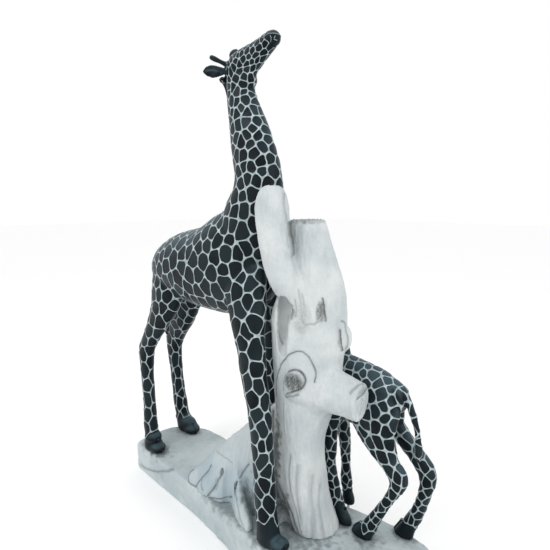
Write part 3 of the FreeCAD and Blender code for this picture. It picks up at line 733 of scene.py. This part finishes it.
# Width, depth and darkness of each carved line, then its path over the stone.
TREE_LINES = [
    # the crease between limb and trunk, darkened with painted shade, and the limb's split top
    (7, 12, 1.0, [(289, -136, 1567), (291, -134, 1525), (290, -123, 1479), (300, -127, 1440)]),
    (6, 5, 0.4, [(277, -150, 1676), (280, -160, 1655), (284, -158, 1620), (287, -146, 1580)]),
    # left rib of the hollow and the line cut along it
    (4, 5, 0.7, [(190, -130, 1275), (187, -118, 1189), (210, -133, 1120), (233, -112, 1053)]),
    # bark: long faint strokes down from the limb's foot and a ragged place on the right
    (4, 3, 0.35, [(330, -122, 1305), (336, -114, 1262), (338, -108, 1215), (346, -103, 1165)]),
    (5, 3, 0.30, [(344, -110, 1285), (349, -102, 1240), (352, -98, 1200)]),
    (3, 3, 0.45, [(322, -128, 1265), (324, -124, 1225), (322, -126, 1190)]),
    (4, 6, 1.0, [(397, -45, 1265), (400, -43, 1240), (401, -41, 1212), (406, -37, 1176)]),
    (3, 5, 0.8, [(391, -51, 1246), (393, -49, 1222), (390, -53, 1196)]),
    (3, 4, 0.6, [(385, -57, 1226), (386, -57, 1204), (382, -62, 1180)]),
    (3, 3, 0.5, [(378, -65, 1212), (379, -64, 1190)]),
    (4, 3, 0.45, [(352, -97, 1160), (364, -87, 1166), (376, -74, 1163), (386, -62, 1172)]),
    # knot on the right: its slit, darkened with painted shade, and the edge of its disc
    (5, 8, 1.0, [(430, 24, 1128), (430, 30, 1092), (428, 36, 1060), (426, 48, 1034)]),
    (4, 4, 0.55, [(430, 33, 1166), (434, 62, 1150), (436, 78, 1110), (430, 84, 1060), (424, 80, 1030)]),
    # collar round the burl, the rim of its heart and the rolled lip under it
    (2.8, 4, 0.9, [(214, -126, 812), (222, -132, 850), (231, -135, 900), (243, -140, 940), (261, -141, 981),
                   (299, -134, 1030), (336, -115, 1048), (358, -98, 1036), (375, -82, 1002), (386, -72, 962),
                   (390, -86, 922)]),
    (4.5, 5, 1.0, [(304, -147, 958), (331, -136, 972), (356, -126, 966), (372, -119, 944), (369, -122, 912),
                   (352, -130, 892), (322, -145, 877), (300, -148, 862)]),
    (3, 4, 0.7, [(304, -147, 958), (290, -150, 930), (284, -152, 900), (279, -143, 868)]),
    (4, 5, 0.7, [(280, -136, 838), (300, -146, 846), (326, -143, 858), (350, -131, 870)]),
    (3, 3, 0.4, [(270, -131, 804), (264, -131, 770), (262, -128, 720), (262, -124, 660)]),
    # long folds down the trunk to the foot
    (8, 5, 0.25, [(330, -104, 520), (322, -104, 440), (326, -98, 354), (334, -92, 280), (343, -88, 190)]),
    (8, 5, 0.30, [(376, -62, 470), (366, -66, 390), (371, -58, 307), (378, -60, 245), (384, -62, 180)]),
    (6, 4, 0.30, [(400, -26, 420), (392, -34, 350), (390, -31, 292), (400, -30, 240), (413, -26, 180)]),
    (5, 4, 0.35, [(292, -110, 560), (284, -112, 480), (292, -108, 400), (312, -100, 310), (334, -90, 215)]),
    # painted shadow on the side toward the near foreleg, running out in streaks
    (16, 3, 1.0, [(150, -84, 700), (180, -104, 579), (203, -106, 470), (210, -112, 380), (222, -106, 290)]),
    (10, 3, 1.0, [(216, -106, 400), (240, -109, 340), (262, -104, 270), (290, -96, 190)]),
    (6, 3, 0.9, [(250, -111, 352), (274, -108, 310), (300, -100, 250), (322, -90, 180)]),
    (5, 2, 0.7, [(222, -100, 300), (240, -90, 230), (262, -90, 176)]),
    # stump: the chopped notch
    (5, 4, 0.5, [(538, -35, 906), (545, 0, 925), (545, 48, 925)]),
    (6, 7, 0.9, [(559, -19, 886), (556, 14, 895), (547, 48, 905)]),
    # roots: outlines of the toes, the rib's creases and a fine crack
    (3, 5, 0.9, [(-336, -212, 240), (-348, -224, 212), (-350, -232, 187), (-322, -232, 170),
                 (-286, -228, 172), (-250, -211, 210), (-222, -198, 260), (-206, -186, 312)]),
    (3, 4, 0.6, [(-236, -214, 240), (-228, -226, 215), (-207, -238, 192)]),
    (4, 6, 0.8, [(-106, -190, 312), (-125, -208, 262), (-150, -224, 215), (-172, -232, 180)]),
    (3, 4, 0.9, [(-166, -230, 172), (-135, -222, 182), (-100, -211, 190), (-63, -180, 205),
                 (-20, -181, 232)]),
    (4, 5, 0.7, [(46, -144, 420), (26, -150, 388), (6, -166, 350), (-4, -185, 318)]),
    (3, 4, 0.6, [(18, -203, 296), (36, -212, 262), (70, -222, 228), (110, -234, 192), (140, -236, 170)]),
    (3, 2, 0.35, [(-190, -160, 384), (-120, -150, 385), (-40, -135, 380)]),
]
# Rough places: centre, half sizes, depth, darkness, grain and seed.
TREE_PATCHES = [
    # the bark's ragged place, the burl's heart, the rougher bark left of the first, the root's cavity
    # darkened with painted shade, the trunk's top and the stump's notch
    ((392, -52, 1212), (24, 26, 56), 3, 0.7, 7, 43),
    ((328, -138, 918), (54, 52, 50), 5, 1.0, 7, 41),
    ((340, -110, 1190), (50, 50, 80), 2, 0.20, 14, 42),
    ((6, -196, 292), (20, 30, 50), 6, 1.0, 9, 44),
    ((320, -40, 1572), (110, 110, 16), 3, 0.4, 12, 45),
    ((535, 20, 900), (40, 60, 26), 3, 0.5, 10, 46),
]
# Painted shade and shadow in the hollows, holes and slits, and on the trunk's side by the near foreleg:
# centre, sizes and strength.
TREE_SHADE_SPOTS = [
    ((200, -108, 560), (40, 60, 260), 0.95), ((225, -112, 280), (60, 50, 130), 0.95),
    ((290, -122, 1215), (30, 44, 70), 0.8), ((268, -110, 1262), (50, 60, 34), 0.75),
    ((244, -112, 1160), (30, 40, 90), 0.4),
    ((286, -140, 1500), (30, 30, 90), 0.25), ((70, -170, 260), (60, 60, 140), 0.6),
    ((-107, -190, 322), (14, 22, 20), 1.0), ((-2, -188, 290), (16, 26, 44), 0.9),
    ((277, -134, 838), (12, 14, 10), 1.0), ((428, 34, 1080), (14, 16, 46), 0.5),
]

# Hollows dug out: centre and half sizes in millimetres, the fillet and the turn about Z.
TREE_SCOOPS = [
    ((254, -115, 1225), (32, 65, 75), 10, 45), ((249, -121, 1140), (20, 50, 85), 10, 45),
    ((328, -158, 922), (40, 20, 36), 8, 30),
    ((276, -136, 838), (10, 16, 8), 3, 30),
    ((-107, -192, 321), (12, 34, 20), 4, 15), ((-128, -214, 264), (8, 14, 44), 6, 15),
    ((6, -200, 294), (12, 30, 46), 6, 0),
    ((306, -72, 1572), (16, 16, 14), 5, 0),
    ((352, -12, 1574), (12, 12, 12), 5, 0),
]
# The stump's year rings: half width and half height of each, about the middle of its end.
STUMP_RINGS = [(9, 12), (17, 21), (25, 31)]
STUMP_END = (556, 12, 838)


def tree():
    field = Field(TREE_NODES, 0.0050, BAND)
    for number, fillet in enumerate(TREE_FILLETS):
        field.add_node(number, fillet)
    for node in DOWELS:
        field.fill(node)
    field.soften(0.005)
    for centre, radii, join, turn in TREE_SCOOPS:
        field.blob(centre, radii, join, turn, dig=True)
    field.stand_on(SLAB_TOP - SUNK)
    points, quads = field.surface(SMALLEST_SHELL)
    points = relax(points, quads, 2)
    points, quads = subdivide(points, quads)
    points = relax(points, quads, 2)
    normals = normals_of(points, quads)
    carving = Carving(points)
    for width, depth, dark, path in TREE_LINES:
        carving.line(width, depth, dark, path)
    for centre, size, depth, dark, grain, seed in TREE_PATCHES:
        carving.patch(centre, size, depth, dark, grain, seed)
    x, y, z = STUMP_END
    for across, up in STUMP_RINGS:
        turn = np.linspace(0, 2 * math.pi, 13)
        ring = [(x, y + across * math.cos(t), z + up * math.sin(t)) for t in turn]
        carving.line(3, 1.5, 0.25, ring)
    flow = waves(points * np.array([1, 1, 0.3]), 0.070, 3)
    fine = waves(points * np.array([1, 1, 0.35]), 0.016, 8, 2)
    lift = carving.lift + 0.0018 * flow + 0.0004 * fine
    dark = np.clip(carving.dark + 0.10 * smoothstep(0.3, 1.2, -flow), 0, 1)
    # painted shade in the hollows and beside the near foreleg, added to how dark the tree is
    dark = add_painted_shade(points, dark, TREE_SHADE_SPOTS)
    # painted shade low on the tree, by the roots: the mask for the darker blue
    rooted = (1 - smoothstep(0.30, 0.62, points[:, 2])) * (1 - smoothstep(0.05, 0.26, points[:, 0]))
    deal_out(field, points + normals * lift[:, None], quads, TREE,
             {"dark": dark, "painted_low_shade": 0.8 * rooted})


# ------------------------------------------------------------------ slab
SLAB_LINES = [
    (7, 5, 0.6, [(-850, -249, 40), (-821, -249, 35), (-740, -247, 55), (-680, -246, 75), (-590, -240, 120),
                 (-505, -233, 160)]),
]
# Painted contact shadow round the feet and roots: centre, sizes and strength.
SLAB_SHADE_SPOTS = [
    ((-700, -190, 165), (80, 75, 60), 0.8), ((-790, -205, 165), (120, 85, 40), 0.45),
    ((-830, 68, 165), (140, 100, 50), 0.5), ((240, -210, 165), (110, 90, 60), 0.7),
    ((300, -60, 165), (220, 180, 60), 0.6), ((520, 120, 165), (110, 80, 50), 0.7),
    ((400, 125, 165), (90, 70, 50), 0.7), ((650, 255, 165), (90, 60, 50), 0.6),
    ((-60, -215, 165), (260, 60, 50), 0.5),
]


def slab():
    field = Field(["base_slab"], 0.0060, 6)
    field.add_node(0, 0.0)
    for node in DOWELS:
        field.fill(node)
    points, quads = field.surface(2000)
    points = relax(points, quads, 1)
    points, quads = subdivide(points, quads)
    points = relax(points, quads, 2)
    normals = normals_of(points, quads)
    carving = Carving(points)
    for width, depth, dark, path in SLAB_LINES:
        carving.line(width, depth, dark, path)
    flow = waves(points, 0.16, 9)
    fine = waves(points, 0.030, 19, 2)
    above = smoothstep(0.004, 0.020, points[:, 2])  # the underside stays flat
    lift = carving.lift + above * (0.0016 * flow + 0.0004 * fine)
    dark = np.maximum(carving.dark, 0.12 * smoothstep(0.2, 1.0, -flow))
    # painted contact shadow round the feet, added to how dark the slab is
    dark = add_painted_shade(points, dark, SLAB_SHADE_SPOTS)
    deal_out(field, points + normals * lift[:, None], quads, SLAB, {"dark": dark})


adult()
calf()
tree()
slab()

steel, _, steel_shader = node_tree("dowel_steel")
steel_shader.inputs["Base Color"].default_value = (0.55, 0.56, 0.57, 1)
steel_shader.inputs["Metallic"].default_value = 1.0
steel_shader.inputs["Roughness"].default_value = 0.4
for node in DOWELS:
    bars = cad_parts[node]
    bars.data.materials.clear()
    bars.data.materials.append(steel)

# ------------------------------------------------------------------ stage, light and camera
bpy.context.scene.view_settings.view_transform = "Standard"

ground, _, ground_shader = node_tree("ground")
ground_shader.inputs["Base Color"].default_value = (0.98, 0.98, 0.98, 1)
ground_shader.inputs["Roughness"].default_value = 0.9
FLOOR = 30  # half its side
corners = [(-FLOOR, -FLOOR, 0), (FLOOR, -FLOOR, 0), (FLOOR, FLOOR, 0), (-FLOOR, FLOOR, 0)]
sheet = mesh_of("floor", np.array(corners, float), np.array([(0, 1, 2, 3)]))
sheet.materials.append(ground)
floor = bpy.data.objects.new("floor", sheet)
bpy.context.collection.objects.link(floor)

world = bpy.data.worlds.new("studio")
bpy.context.scene.world = world
world.use_nodes = True
world.node_tree.nodes["Background"].inputs["Color"].default_value = (1.0, 1.0, 1.0, 1)
world.node_tree.nodes["Background"].inputs["Strength"].default_value = 1.0


def area_light(name, place, target, size, power):
    lamp = bpy.data.lights.new(name, "AREA")
    lamp.size = size
    lamp.energy = power
    holder = bpy.data.objects.new(name, lamp)
    holder.location = place
    way = Vector(target) - Vector(place)
    holder.rotation_euler = way.to_track_quat("-Z", "Y").to_euler()
    bpy.context.collection.objects.link(holder)


area_light("key", (-1.2, -3.4, 4.8), (0, 0, 1.1), 2.4, 60)
area_light("side", (3.4, -0.2, 2.6), (0.1, 0, 1.4), 2.4, 30)

camera_data = bpy.data.cameras.new("camera")
camera_data.lens = 28.15
camera_data.sensor_width = 36
camera = bpy.data.objects.new("camera", camera_data)
camera.location = (1.46, -1.36, 1.655)
camera.rotation_euler = (math.radians(90 - 9.9), 0, math.radians(45.5))
bpy.context.collection.objects.link(camera)
bpy.context.scene.camera = camera
